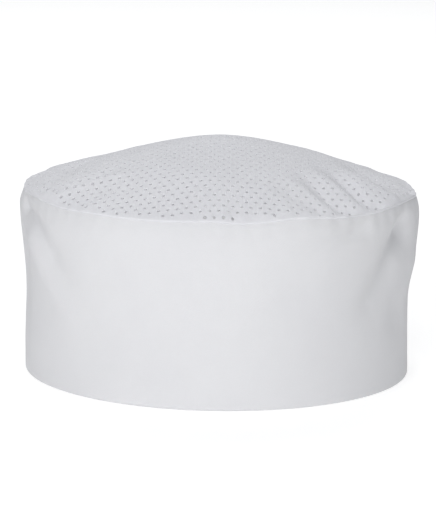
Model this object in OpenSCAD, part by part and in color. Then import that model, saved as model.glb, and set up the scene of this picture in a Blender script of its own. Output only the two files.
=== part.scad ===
// A low chef's toque: a deep twill band, a domed mesh crown, a terry sweatband,
// and at the back an arched vent that a hook-and-loop tab closes.
// The band stands on z = 0, +Z is up, the front faces -Y and the vent is at +Y.

/* [Band] */
// Radius of the band's outer face at its lower edge
rim_r = 94.5; // [78:0.5:114]
// Height of the band, from its lower edge to the crown seam
band_h = 90; // [75:1:110]
// Height of the straight lower part of the band
cuff_h = 35; // [28:1:42]
// How far the band swells out between the straight part and its shoulder
flare = 3.5; // [2:0.5:6]
// Height over which the band leans in, from its shoulder to the crown seam
shoulder_h = 10; // [8:1:14]
// How far the band leans in over that height
lean = 2; // [1:0.5:3]

/* [Crown] */
// Rise of the crown above the crown seam
crown_rise = 25; // [15:1:40]
// Thickness of the mesh
mesh_t = 0.6; // [0.4:0.1:1]
// Depth of the seam allowance that is turned down inside the band
allowance_h = 8; // [6:0.5:12]

/* [Cloth and thread] */
// Thickness of one layer of twill
twill_t = 0.5; // [0.3:0.1:0.8]
// Thickness of the interlining between the band's two layers
interlining_t = 0.6; // [0.3:0.1:1]
// Thickness of the binding tapes
tape_t = 0.4; // [0.2:0.1:0.6]
// How far a line of stitches stands proud
thread_t = 0.25; // [0.1:0.05:0.4]
// Width of a line of stitches
thread_w = 0.5; // [0.3:0.1:0.8]
// Space between two layers that lie on each other
ply_gap = 0.1; // [0.05:0.05:0.2]

/* [Sweatband] */
// Height of the sweatband
sweat_h = 32; // [25:1:40]
// Thickness of the sweatband
sweat_t = 1.4; // [1:0.1:2]
// Height of its lower edge above the band's lower edge
sweat_z = 2; // [1.5:0.5:4]

/* [Rear vent] */
// Width of the vent
vent_w = 48; // [38:1:60]
// Height of the vent at the top of its arch
vent_h = 45; // [36:1:54]
// Width of the binding round the vent
vent_bind_w = 6; // [4:0.5:8]

/* [Closing tab] */
// Height of the strap
strap_h = 24; // [18:1:30]
// Height of its lower edge above the band's lower edge
strap_z = 4; // [3:0.5:6]
// Thickness of the strap
strap_t = 0.9; // [0.6:0.1:1.2]
// Length of the strap that laps over the band past the vent
lap_l = 46; // [38:1:56]
// Length of the strap's sewn end
base_l = 17; // [12:1:24]
// Corner radius of the strap's free end
strap_corner_r = 6; // [3:0.5:8]
// Length of the hook tape
hook_l = 36; // [28:1:40]
// Thickness of the hook tape
hook_t = 0.6; // [0.4:0.1:0.9]
// Length of the loop tape
loop_l = 70; // [58:1:84]
// Thickness of the loop tape
loop_t = 0.8; // [0.6:0.1:1]
// Space between the hooks and the loops, which the pile fills
pile_gap = 0.5; // [0.4:0.05:0.8]

/* [Care label] */
// Width of the label
label_w = 26; // [20:1:34]
// Length of the label below its sewn end
label_l = 24; // [18:1:30]
// Thickness of the label
label_t = 0.4; // [0.3:0.05:0.6]

/* [Hidden] */
$fn = 128;

joint_gap = 0.3;      // clear space between pieces that move on each other
stitch_inset = 2;     // from an edge to the line of stitches that runs along it
rim_fillet = 0.45;    // rounding of the folded lower edge
flare_steps = 9;      // straight lengths that draw the swell of the band
lean_steps = 4;       // and the lean of its shoulder
crown_steps = 26;     // and the curve of the crown
dome_share = 0.97;    // share of the crown's rise that is dome, the rest is its rolled edge
dome_power = 1.4;     // how blunt the dome is
roll_power = 20;      // how tight the rolled edge is

shoulder_z = band_h - shoulder_h;
shoulder_r = rim_r + flare;
seam_r = shoulder_r - lean;
lean_arc_r = (pow(shoulder_h, 2) + pow(lean, 2)) / (2 * lean);

// Depths below the band's outer face of each layer's outer side
wall_t = 2 * twill_t + interlining_t + 2 * ply_gap;
lining_d = twill_t + ply_gap;
tape_out_d = wall_t + ply_gap;
flange_d = tape_out_d + tape_t + ply_gap;
seam_thread_d = flange_d + mesh_t + ply_gap / 2;
tape_in_d = seam_thread_d + thread_t + ply_gap / 2;
bind_thread_d = tape_in_d + tape_t + ply_gap / 2;
label_base_d = tape_in_d + tape_t + ply_gap;
vent_in_d = wall_t + ply_gap;
vent_stitch_d = vent_in_d + tape_t + ply_gap / 2;

// Heights at the crown seam
allowance_z = band_h - allowance_h;
binding_z = allowance_z - ply_gap - tape_t;
binding_top_z = band_h - twill_t;
seam_thread_z = band_h - 0.55 * allowance_h;
bind_thread_z = band_h - 0.3 * allowance_h;

// Sweatband
sweat_out_r = rim_r - wall_t - ply_gap;
sweat_in_r = sweat_out_r - sweat_t;
sweat_thread_in_r = sweat_out_r - sweat_t / 2;

// Radii of the closing tab's layers, outwards from the band
loop_in_r = rim_r + ply_gap;
loop_out_r = loop_in_r + loop_t;
hook_in_r = loop_out_r + pile_gap;
hook_out_r = hook_in_r + hook_t;
strap_in_r = hook_out_r + ply_gap;
strap_out_r = strap_in_r + strap_t;
base_out_r = loop_in_r + 2 * strap_t;

// Bearings of the tab's pieces, from +X towards +Y, with the vent centred on back_az
back_az = 90;
edge_clear = 2.5;     // from the vent's binding to the pieces of the tab beside it
vent_az = asin((vent_w / 2 + vent_bind_w + edge_clear) / rim_r);
hinge_az = back_az + vent_az;
base_az = hinge_az + arc_deg(strap_t / 2 + joint_gap);
base_end_az = base_az + arc_deg(base_l);
loop_az = back_az - vent_az - arc_deg(loop_l);
strap_az = back_az - vent_az - arc_deg(lap_l);
hook_az = strap_az + arc_deg(stitch_inset);

// Care label
label_base_h = 3.5;
label_hinge_z = allowance_z - label_t / 2 - joint_gap;
label_low_z = label_hinge_z - label_l;
label_y = sqrt(pow(band_r(label_low_z) - vent_stitch_d - thread_t, 2) - pow(label_w / 2, 2))
    - joint_gap - label_t / 2;

// Bearing covered by a length of arc on the band's lower part
function arc_deg(length) = length / rim_r * 180 / PI;

// Radius of the band's outer face at height z
function band_r(z) =
    z <= cuff_h ? rim_r :
    z <= shoulder_z ?
        rim_r + flare * (1 - cos(180 * (z - cuff_h) / (shoulder_z - cuff_h))) / 2 :
    shoulder_r - lean_arc_r + sqrt(pow(lean_arc_r, 2) - pow(z - shoulder_z, 2));

// Heights at which the band's outline bends, from z0 to z1
function levels(z0, z1) = concat([z0],
    [for (i = [0 : flare_steps])
        let (z = cuff_h + (shoulder_z - cuff_h) * i / flare_steps) if (z > z0 && z < z1) z],
    [for (i = [1 : lean_steps])
        let (z = shoulder_z + shoulder_h * i / lean_steps) if (z > z0 && z < z1) z],
    [z1]);

// Height of the crown's outer face at radius r
crown_dome = crown_rise - mesh_t - ply_gap;
function crown_z(r) = band_h + ply_gap + mesh_t + crown_dome * (
    dome_share * (1 - pow(r / seam_r, dome_power))
    + (1 - dome_share) * (1 - pow(r / seam_r, roll_power)));

// Half the width of the vent, made larger by grow, at height z in its arch
function vent_half(z, grow) =
    sqrt(pow(vent_w / 2 + grow, 2) - pow(z - (vent_h - vent_w / 2), 2));

// Point of the crown's underside at radius r
function under_crown(r) = [r, crown_z(r) - mesh_t];

// Radii of the crown's outline, closer together towards its edge
function crown_r(i) = seam_r * sin(90 * i / crown_steps);

// Half section of a layer of the band, between two depths and two heights
module layer_2d(d_out, d_in, z0, z1) {
    zs = levels(z0, z1);
    polygon(concat(
        [for (z = zs) [band_r(z) - d_out, z]],
        [for (i = [len(zs) - 1 : -1 : 0]) [band_r(zs[i]) - d_in, zs[i]]]));
}

module layer(d_out, d_in, z0, z1) {
    rotate_extrude() layer_2d(d_out, d_in, z0, z1);
}

// A ring of stitches on the face at depth d
module stitch_ring(d, z) {
    layer(d, d + thread_t, z - thread_w / 2, z + thread_w / 2);
}

// Outline of the vent, made larger by grow all round, from below the band upwards
module vent_2d(grow) {
    half = vent_w / 2 + grow;
    arch_z = vent_h - vent_w / 2;
    translate([0, arch_z]) circle(r = half);
    translate([-half, -band_h]) square([2 * half, band_h + arch_z]);
}

// The same outline as a bar that goes through the back of the hat
module vent_bar(grow) {
    translate([0, 1.5 * rim_r, 0]) rotate([90, 0, 0])
        linear_extrude(rim_r) vent_2d(grow);
}

// A band of width w along the vent's edge, starting grow outside it
module vent_frame(grow, w) {
    translate([0, 1.5 * rim_r, 0]) rotate([90, 0, 0])
        linear_extrude(rim_r) difference() {
            vent_2d(grow + w);
            vent_2d(grow);
        }
}

// A curved plate between two radii, two bearings and two heights
module plate(r0, r1, az0, az1, z0, z1) {
    rotate([0, 0, az0]) rotate_extrude(angle = az1 - az0)
        translate([r0, z0]) square([r1 - r0, z1 - z0]);
}

// A closed line of stitches, inset from the edges of a plate whose face is at radius r
module plate_stitches(r, az0, az1, z0, z1) {
    a = arc_deg(stitch_inset);
    b = a + arc_deg(thread_w);
    face = r + ply_gap / 4;
    difference() {
        plate(face, face + thread_t - ply_gap / 2, az0 + a, az1 - a,
            z0 + stitch_inset, z1 - stitch_inset);
        plate(face - 1, face + 1, az0 + b, az1 - b,
            z0 + stitch_inset + thread_w, z1 - stitch_inset - thread_w);
    }
}

// What is cut off the corners of a plate's end at bearing az, to round them by r in two flats
module corner_cuts(az, z0, z1, r, plate_r) {
    rotate([0, 0, az + asin(r / plate_r)]) translate([rim_r - 1, 0, 0]) rotate([90, 0, 90])
        for (side = [[z0 + r, 1], [z1 - r, -1]], flat_az = [22.5, 67.5])
            translate([0, side[0], 0]) rotate([0, 0, 180 + side[1] * flat_az])
                translate([r, -2 * r, 0]) cube([4 * r, 4 * r, 8]);
}

// What rounding by r takes off a section's lower corner, whose cloth lies towards side
module corner_off(x, side, r) {
    translate([x, 0]) mirror([side < 0 ? 1 : 0, 0]) difference() {
        translate([-1, -1]) square([r + 1, r + 1]);
        translate([r, r]) circle(r = r);
    }
}

// One strip of twill folded up at the band's lower edge, with its two edges in the crown seam
module band_shell() {
    color("white") difference() {
        rotate_extrude() difference() {
            layer_2d(0, wall_t, 0, band_h);
            layer_2d(twill_t, wall_t - twill_t, twill_t, band_h + 1);
            corner_off(rim_r, -1, rim_fillet);
            corner_off(rim_r - wall_t, 1, rim_fillet);
        }
        vent_bar(tape_t + ply_gap);
    }
}

module band_interlining() {
    color("gainsboro") difference() {
        layer(lining_d, lining_d + interlining_t, twill_t + ply_gap, band_h - twill_t);
        vent_bar(tape_t + ply_gap);
    }
}

// The domed disc of mesh, with its edge turned down inside the band
module mesh_crown() {
    neck_out = seam_r - flange_d;
    neck_in = neck_out - mesh_t;
    zs = levels(allowance_z, band_h);
    rs = [for (i = [0 : crown_steps]) crown_r(i)];
    color("whitesmoke") rotate_extrude() polygon(concat(
        [for (r = rs) [r, crown_z(r)]],
        [for (i = [crown_steps : -1 : 0]) if (rs[i] > neck_out) under_crown(rs[i])],
        [under_crown(neck_out)],
        [for (i = [len(zs) - 1 : -1 : 0]) [band_r(zs[i]) - flange_d, zs[i]]],
        [for (z = zs) [band_r(z) - flange_d - mesh_t, z]],
        [under_crown(neck_in)],
        [for (i = [crown_steps : -1 : 0]) if (rs[i] < neck_in) under_crown(rs[i])]));
}

// The stitches that join the crown to the band, under the seam binding
module crown_seam_thread() {
    color("white") stitch_ring(seam_thread_d, seam_thread_z);
}

// Tape folded round the raw edge of the seam allowance
module seam_binding() {
    color("ghostwhite") rotate_extrude() difference() {
        layer_2d(tape_out_d, tape_in_d + tape_t, binding_z, binding_top_z);
        layer_2d(tape_out_d + tape_t, tape_in_d, binding_z + tape_t, binding_top_z + 1);
    }
}

module binding_thread() {
    color("white") stitch_ring(bind_thread_d, bind_thread_z);
}

// Terry strip inside the band's lower edge, open at the vent
module sweatband() {
    color("white") difference() {
        translate([0, 0, sweat_z]) cylinder(r = sweat_out_r, h = sweat_h);
        translate([0, 0, sweat_z - 1]) cylinder(r = sweat_in_r, h = sweat_h + 2);
        vent_bar(vent_bind_w + ply_gap);
    }
}

// Overlock stitches along the sweatband's two edges
module sweatband_thread() {
    grow = vent_bind_w + 2 * ply_gap;
    lower_z = sweat_z - ply_gap / 2 - thread_w;
    upper_z = sweat_z + sweat_h + ply_gap / 2;
    color("white") for (z = [lower_z, upper_z]) {
        open_az = asin(vent_half(max(z, vent_h - vent_w / 2), grow) / sweat_out_r);
        plate(sweat_thread_in_r, sweat_out_r, back_az + open_az, back_az + 360 - open_az,
            z, z + thread_w);
    }
}

// Tape folded round the edge of the vent
module vent_binding() {
    top_z = vent_h + vent_bind_w + 1;
    color("ghostwhite") difference() {
        intersection() {
            vent_frame(0, vent_bind_w);
            layer(-ply_gap - tape_t, vent_in_d + tape_t, ply_gap, top_z);
        }
        difference() {
            layer(-ply_gap, vent_in_d, -1, top_z + 1);
            vent_bar(tape_t);
        }
    }
}

// Stitches along the vent's binding, outside and inside the band
module vent_thread() {
    top_z = vent_h + vent_bind_w;
    out_d = -ply_gap - tape_t - ply_gap / 2;
    color("white") intersection() {
        vent_frame(vent_bind_w - 1 - thread_w, thread_w);
        union() {
            layer(out_d - thread_t, out_d, ply_gap, top_z);
            layer(vent_stitch_d, vent_stitch_d + thread_t, ply_gap, top_z);
        }
    }
}

// The strap's end, folded double and sewn to the band
module tab_base() {
    color("white") plate(loop_in_r, base_out_r, base_az, base_end_az,
        strap_z, strap_z + strap_h);
}

module tab_base_thread() {
    color("white") plate_stitches(base_out_r, base_az, base_end_az,
        strap_z, strap_z + strap_h);
}

module loop_tape() {
    color("whitesmoke") plate(loop_in_r, loop_out_r, loop_az, back_az - vent_az,
        strap_z, strap_z + strap_h);
}

module loop_thread() {
    color("white") plate_stitches(loop_out_r, loop_az, back_az - vent_az,
        strap_z, strap_z + strap_h);
}

// The strap, which crosses the vent and turns on a fold line beside its sewn end
module tab_strap() {
    color("white") difference() {
        plate(strap_in_r, strap_out_r, strap_az, hinge_az, strap_z, strap_z + strap_h);
        corner_cuts(strap_az, strap_z, strap_z + strap_h, strap_corner_r, strap_out_r);
    }
}

module hook_tape() {
    color("whitesmoke") difference() {
        plate(hook_in_r, hook_out_r, hook_az, hook_az + arc_deg(hook_l),
            strap_z + stitch_inset, strap_z + strap_h - stitch_inset);
        corner_cuts(hook_az, strap_z + stitch_inset, strap_z + strap_h - stitch_inset,
            strap_corner_r - stitch_inset, hook_out_r);
    }
}

// Stitches that hold the hook tape, on the strap's outer face
module hook_thread() {
    color("white") plate_stitches(strap_out_r, hook_az, hook_az + arc_deg(hook_l),
        strap_z + stitch_inset, strap_z + strap_h - stitch_inset);
}

// The label's folded end, sewn to the seam binding at the back. It fills the space between
// the binding's curve and the plane that the label hangs in.
module label_base() {
    color("white") intersection() {
        layer(label_base_d, rim_r / 2, allowance_z, allowance_z + label_base_h, $fn = 4 * $fn);
        translate([-label_w / 2, label_y - label_t / 2, 0])
            cube([label_w, 2 * rim_r, 2 * band_h]);
    }
}

module label_thread() {
    color("white") translate([1 - label_w / 2,
        label_y - label_t / 2 - ply_gap / 2 - thread_t,
        allowance_z + label_base_h / 2 - thread_w / 2])
        cube([label_w - 2, thread_t, thread_w]);
}

// The label, hanging from a fold line just below its sewn end
module care_label() {
    color("white") translate([-label_w / 2, label_y, label_hinge_z]) {
        translate([0, -label_t / 2, -label_l]) cube([label_w, label_t, label_l]);
        rotate([0, 90, 0]) cylinder(r = label_t / 2, h = label_w);
    }
}

band_shell();
band_interlining();
mesh_crown();
crown_seam_thread();
seam_binding();
binding_thread();
sweatband();
sweatband_thread();
vent_binding();
vent_thread();
tab_base();
tab_base_thread();
loop_tape();
loop_thread();
tab_strap();
hook_tape();
hook_thread();
label_base();
label_thread();
care_label();
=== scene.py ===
# A low cook's hat: twill band, dome of knitted mesh, terry sweatband, vent and closing strap at the back.
import math
import bmesh
import bpy
import numpy as np
from mathutils import Matrix, Vector


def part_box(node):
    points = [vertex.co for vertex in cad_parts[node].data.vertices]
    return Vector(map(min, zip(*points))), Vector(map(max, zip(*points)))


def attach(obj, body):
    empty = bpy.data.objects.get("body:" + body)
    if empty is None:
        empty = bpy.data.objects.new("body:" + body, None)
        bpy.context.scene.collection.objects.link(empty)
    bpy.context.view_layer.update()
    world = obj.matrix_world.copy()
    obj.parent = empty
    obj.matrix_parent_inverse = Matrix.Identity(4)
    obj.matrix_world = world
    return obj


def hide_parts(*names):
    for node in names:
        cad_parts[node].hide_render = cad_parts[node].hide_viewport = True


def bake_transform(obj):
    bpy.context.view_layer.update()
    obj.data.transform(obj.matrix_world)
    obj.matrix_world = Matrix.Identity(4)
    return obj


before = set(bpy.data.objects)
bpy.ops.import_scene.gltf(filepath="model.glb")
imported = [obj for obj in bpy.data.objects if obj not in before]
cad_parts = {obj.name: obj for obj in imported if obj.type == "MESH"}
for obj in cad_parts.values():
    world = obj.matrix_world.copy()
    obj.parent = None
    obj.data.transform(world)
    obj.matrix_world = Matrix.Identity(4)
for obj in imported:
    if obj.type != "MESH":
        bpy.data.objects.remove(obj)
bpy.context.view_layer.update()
mm = 0.001
rng = np.random.default_rng(7)


def deselectAll():
    if bpy.context.mode != "OBJECT":
        bpy.ops.object.mode_set(mode="OBJECT")
    bpy.ops.object.select_all(action="DESELECT")


def pick(piece):
    deselectAll()
    piece.select_set(True)
    bpy.context.view_layer.objects.active = piece


def readPoints(piece):
    flat = np.empty(len(piece.data.vertices) * 3)
    piece.data.vertices.foreach_get("co", flat)
    return flat.reshape(-1, 3)


def writePoints(piece, points):
    piece.data.vertices.foreach_set("co", np.ascontiguousarray(points, dtype=np.float32).ravel())
    piece.data.update()


def writeUv(piece, across, along):
    mesh = piece.data
    layer = mesh.uv_layers.active or mesh.uv_layers.new(name="clothUv")
    corners = np.empty(len(mesh.loops), dtype=np.int32)
    mesh.loops.foreach_get("vertex_index", corners)
    layer.data.foreach_set("uv", np.stack([across[corners], along[corners]], 1).astype(np.float32).ravel())


def smooth(share):
    share = np.clip(share, 0, 1)
    return share * share * (3 - 2 * share)


def window(value, low, high, ramp):      # 1 between low and high, falling to 0 over ramp outside them
    return smooth((value - low) / ramp + 1) * smooth((high - value) / ramp + 1)


def clothGrid(name, columns, rows):      # a grid whose points are then laid along the piece
    deselectAll()
    bpy.ops.mesh.primitive_grid_add(x_subdivisions=columns, y_subdivisions=rows, size=1)
    piece = bpy.context.object
    piece.name = name
    piece.data.name = name
    points = readPoints(piece)
    return piece, points[:, 0] + 0.5, points[:, 1] + 0.5


def mergeDoubles(piece):
    pick(piece)
    bpy.ops.object.mode_set(mode="EDIT")
    bpy.ops.mesh.select_all(action="SELECT")
    bpy.ops.mesh.remove_doubles(threshold=0.02 * mm)
    bpy.ops.object.mode_set(mode="OBJECT")


def dropFaces(piece, unwanted):          # unwanted says of each face whether it goes
    pick(piece)
    bpy.ops.object.mode_set(mode="EDIT")
    cloth = bmesh.from_edit_mesh(piece.data)
    for face in cloth.faces:
        face.select_set(unwanted(face))
    bmesh.update_edit_mesh(piece.data)
    bpy.ops.mesh.delete(type="FACE")
    bpy.ops.object.mode_set(mode="OBJECT")


def joinOnto(piece, extra):
    pick(piece)
    extra.select_set(True)
    bpy.ops.object.join()


def thicken(piece, thickness):           # half of the thickness to each side
    pick(piece)
    wall = piece.modifiers.new("clothThickness", "SOLIDIFY")
    wall.thickness = thickness
    wall.offset = 0
    wall.use_even_offset = False
    bpy.ops.object.modifier_apply(modifier=wall.name)


def softenEdges(piece, width):
    pick(piece)
    bevel = piece.modifiers.new("softEdge", "BEVEL")
    bevel.width = width
    bevel.segments = 2
    bevel.limit_method = "ANGLE"
    bevel.angle_limit = math.radians(60)
    bpy.ops.object.modifier_apply(modifier=bevel.name)


def smoothShade(piece, angle=50):
    pick(piece)
    bpy.ops.object.shade_smooth_by_angle(angle=math.radians(angle))


def pointOutwards(piece):
    pick(piece)
    bpy.ops.object.mode_set(mode="EDIT")
    bpy.ops.mesh.select_all(action="SELECT")
    bpy.ops.mesh.normals_make_consistent(inside=False)
    bpy.ops.object.mode_set(mode="OBJECT")


def finishPiece(piece, body, material, nodes):
    piece.data.materials.clear()
    piece.data.materials.append(material)
    if body:                             # the strap and the label are attached to no body here
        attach(piece, body)
    if nodes:
        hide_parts(*nodes)


def lineShare(x, y, line, width, tail=1.0):   # 1 on a bent line, less beside it and towards its tail
    nearest = np.full(np.shape(x), 1e9)
    strength = np.ones(np.shape(x))
    for k, ((x0, y0), (x1, y1)) in enumerate(zip(line, line[1:])):
        dx, dy = x1 - x0, y1 - y0
        along = np.clip(((x - x0) * dx + (y - y0) * dy) / (dx * dx + dy * dy), 0, 1)
        away = np.hypot(x - x0 - along * dx, y - y0 - along * dy)
        fade = 1 + (tail - 1) * (k + along) / (len(line) - 1)
        strength = np.where(away < nearest, fade, strength)
        nearest = np.minimum(nearest, away)
    return strength * np.exp(-(nearest / width) ** 2)


def addNode(tree, kind, inputs, **settings):     # an input is a value, or the output that feeds it
    node = tree.nodes.new("ShaderNode" + kind)
    for setting, value in settings.items():
        setattr(node, setting, value)
    for socket, value in inputs.items():
        if isinstance(value, bpy.types.NodeSocket):
            tree.links.new(value, node.inputs[socket])
        else:
            node.inputs[socket].default_value = value
    return node


def clothMaterial(name, colour, shade, roughness, weave, weaveDepth, grain, sheen, softness=0.0):
    material = bpy.data.materials.new(name)
    material.use_nodes = True
    tree = material.node_tree
    shader = tree.nodes["Principled BSDF"]
    for socket, value in (("Roughness", roughness), ("Sheen Weight", sheen), ("Sheen Roughness", 0.45),
                          ("Specular IOR Level", 0.22)):
        shader.inputs[socket].default_value = value
    place = addNode(tree, "TexCoord", {})
    inObject, inUv = place.outputs["Object"], place.outputs["UV"]
    # a slow change of tone, as where cloth has been handled, and uneven yarn
    blotches = addNode(tree, "TexNoise", {"Scale": 26, "Detail": 3, "Vector": inObject})
    slub = addNode(tree, "TexNoise", {"Scale": 1500, "Detail": 2, "Vector": inObject})
    weakBlotches = addNode(tree, "Math", {0: blotches.outputs["Fac"], 1: 0.65}, operation="MULTIPLY")
    mixed = addNode(tree, "Math", {0: slub.outputs["Fac"], 1: 0.35, 2: weakBlotches.outputs[0]},
                    operation="MULTIPLY_ADD")
    tones = addNode(tree, "ValToRGB", {"Fac": mixed.outputs[0]})
    for k, position, tone in ((0, 0.3, shade), (1, 0.72, colour)):
        tones.color_ramp.elements[k].position = position
        tones.color_ramp.elements[k].color = (*tone, 1)
    tree.links.new(tones.outputs["Color"], shader.inputs["Base Color"])
    heights = []
    if weave == "twill":                              # fine diagonal ribs
        ribs = addNode(tree, "TexWave", {"Scale": 0.628 / (grain * 1.41), "Distortion": 0.6,
                                         "Detail Scale": 2, "Vector": inUv}, bands_direction="DIAGONAL")
        heights.append((ribs.outputs["Fac"], weaveDepth))
    elif weave == "plain" or weave == "satin":       # crossed warp and weft
        for direction, share in (("X", 1.0), ("Y", 1.0 if weave == "plain" else 0.35)):
            yarns = addNode(tree, "TexWave", {"Scale": 0.314 / grain, "Distortion": 0.4, "Vector": inUv},
                            bands_direction=direction)
            heights.append((yarns.outputs["Fac"], weaveDepth * share))
    elif weave == "knit" or weave == "pile":
        cells = addNode(tree, "TexVoronoi", {"Scale": 1 / grain,
                                             "Vector": inUv if weave == "knit" else inObject}, feature="F1")
        heights.append((cells.outputs["Distance"], -weaveDepth))
    elif weave == "thread":
        plies = addNode(tree, "TexWave", {"Scale": 0.628 / grain, "Vector": inObject},
                        bands_direction="DIAGONAL")
        heights.append((plies.outputs["Fac"], weaveDepth))
    heights.append((slub.outputs["Fac"], weaveDepth * 0.6))
    total = None
    for output, depth in heights:
        scaled = addNode(tree, "Math", {0: output, 1: depth}, operation="MULTIPLY").outputs[0]
        total = scaled if total is None else addNode(tree, "Math", {0: total, 1: scaled},
                                                     operation="ADD").outputs[0]
    if softness > 0:                                  # slow unevenness of a pressed, lined cloth
        uneven = addNode(tree, "TexNoise", {"Scale": 70, "Detail": 2, "Vector": inObject})
        total = addNode(tree, "Math", {0: uneven.outputs["Fac"], 1: softness, 2: total},
                        operation="MULTIPLY_ADD").outputs[0]
    bump = addNode(tree, "Bump", {"Distance": 1.0, "Strength": 1.0, "Height": total})
    tree.links.new(bump.outputs["Normal"], shader.inputs["Normal"])
    return material


print("materials")
twillCloth = clothMaterial("white twill", (0.72, 0.72, 0.735), (0.685, 0.685, 0.705), 0.85,
                           "twill", 0.00005, 0.00055, 0.03, 0.0004)
meshCloth = clothMaterial("white knitted mesh", (0.73, 0.73, 0.755), (0.69, 0.69, 0.72), 0.8,
                          "knit", 0.00006, 0.0005, 0.05)
stiffCloth = clothMaterial("stiffening fleece", (0.74, 0.74, 0.74), (0.68, 0.68, 0.68), 0.95,
                           "pile", 0.00008, 0.0007, 0.1)
tapeCloth = clothMaterial("bias tape", (0.80, 0.80, 0.81), (0.75, 0.75, 0.765), 0.8,
                          "plain", 0.00006, 0.0005, 0.12)
terryCloth = clothMaterial("terry", (0.82, 0.815, 0.80), (0.72, 0.715, 0.70), 0.97,
                           "pile", 0.00025, 0.0011, 0.3)
threadYarn = clothMaterial("sewing thread", (0.84, 0.84, 0.85), (0.77, 0.77, 0.78), 0.55,
                           "thread", 0.00005, 0.0006, 0.1)
loopPile = clothMaterial("loop pile", (0.80, 0.80, 0.80), (0.70, 0.70, 0.705), 0.9,
                         "pile", 0.00015, 0.0006, 0.35)
hookNylon = clothMaterial("hook nylon", (0.80, 0.80, 0.79), (0.74, 0.74, 0.73), 0.38,
                          "plain", 0.00004, 0.0008, 0.0)
labelSatin = clothMaterial("label satin", (0.84, 0.84, 0.84), (0.79, 0.79, 0.79), 0.4,
                           "satin", 0.00002, 0.0003, 0.2)


hatForm = {
    "cuffTop": 35 * mm,        # the band stands straight up to here
    "shoulder": 80 * mm,       # then swells out to here, and leans in above it
    "liftFrom": 62 * mm,       # the wavy seam pulls the band up and down above this height
    "seamWaves": [             # how the seam wanders up and down: bearing, height (mm)
        (-180, 0), (-172, 0), (-165, -0.2), (-150, -0.7), (-135, -0.2), (-120, -1.0), (-104, -0.9),
        (-96, -1.9), (-87, -2.1), (-79, -1.2), (-68, 0), (-56, -0.6), (-47, -1.2), (-39, -0.7), (-29, -1.1),
        (-22, -1.0), (-10, -0.7), (0, -0.1), (5, -1.4), (11, -0.9), (17, 0.2), (23, 0.7), (28, 0.3),
        (35, -0.9), (48, -1.4), (59, -0.2), (74, -0.1), (80, -1.1), (91, -2.8), (99, -2.6), (107, -1.1),
        (118, -1.0), (134, -0.3), (150, -0.8), (165, -0.2), (172, 0)],
}
# dents and ridges of the band: bearing and height along each, how deep, how wide (mm)
bandDents = {
    "leftFold": ([(-77, 84), (-67, 81), (-60, 75), (-56, 67)], -4.4, 5.6),
    "leftShoulder": ([(-80, 74), (-70, 69)], 1.0, 5.0),
    "leftHollow": ([(-82, 64), (-81, 50), (-79, 28)], -3.8, 11.0),
    "leftRidge": ([(-66, 68), (-61, 56), (-54, 44), (-48, 34)], 2.2, 8.0),
    "leftMiddle": ([(-53, 64), (-47, 53), (-41, 42)], -1.6, 8.0),
    "leftSwell": ([(-100, 84), (-100, 50), (-100, 20)], 1.9, 9.0),
    "rightDent": ([(67, 76), (61.5, 70), (56, 58), (50, 48)], -7.4, 9.2),
    "rightTuck": ([(44, 86), (38, 83), (29, 77)], -2.4, 4.6),
    "rightSwell": ([(78, 58), (74, 49), (68, 37)], 1.2, 8.0),
    "rightEdge": ([(86, 46), (86, 32), (84, 16)], -1.8, 9.0),
    "rightBehind": ([(103, 66), (104, 44), (103, 20)], 1.4, 8.0),
    "rightHollow": ([(66, 34), (69, 26), (70, 18)], -0.9, 9.0),
    "middleSoft": ([(-14, 70), (-4, 58), (4, 44)], -0.5, 12.0),
    "middleRight": ([(24, 74), (20, 58), (22, 36)], -0.6, 11.0),
    "sideDent": ([(116, 80), (114, 66), (116, 50)], -1.6, 8.0),
    "backRightFold": ([(132, 82), (124, 73), (119, 62)], -2.4, 7.0),
    "backRightRidge": ([(138, 78), (135, 68)], 1.0, 5.5),
    "backLeftFold": ([(-126, 84), (-135, 75), (-141, 64)], -2.3, 7.0),
    "leftSideDent": ([(-112, 82), (-108, 66), (-112, 46)], -2.0, 8.0),
}
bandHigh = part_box("band_shell")[1]
bandPoints = readPoints(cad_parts["band_shell"])
bandRadii = np.hypot(bandPoints[:, 0], bandPoints[:, 1])
seamZ = bandHigh.z
rimR = bandRadii[bandPoints[:, 2] < 5 * mm].max()
shoulderR = bandRadii.max()
seamR = bandRadii[bandPoints[:, 2] > seamZ - 0.1 * mm].max()
leanArc = ((seamZ - hatForm["shoulder"]) ** 2 + (shoulderR - seamR) ** 2) / (2 * (shoulderR - seamR))

arcPerDegree = math.radians(1) * 96      # mm of band to a degree
degrees = np.arange(-180, 180)
rawLift = np.interp(degrees, *zip(*hatForm["seamWaves"]), period=360)
spread = np.exp(-(np.arange(-9, 10) / 3.2) ** 2)
liftTable = np.convolve(np.tile(rawLift, 3), spread / spread.sum(), "same")[360:720] * mm


def seamLift(bearing):
    return np.interp(np.degrees(bearing), degrees, liftTable, period=360)


def bandRadius(z):
    swell = np.clip((z - hatForm["cuffTop"]) / (hatForm["shoulder"] - hatForm["cuffTop"]), 0, 1)
    above = np.clip(z - hatForm["shoulder"], 0, leanArc * 0.9)
    return (rimR + (shoulderR - rimR) * (1 - np.cos(np.pi * swell)) / 2
            - leanArc + np.sqrt(leanArc ** 2 - above ** 2))


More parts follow.
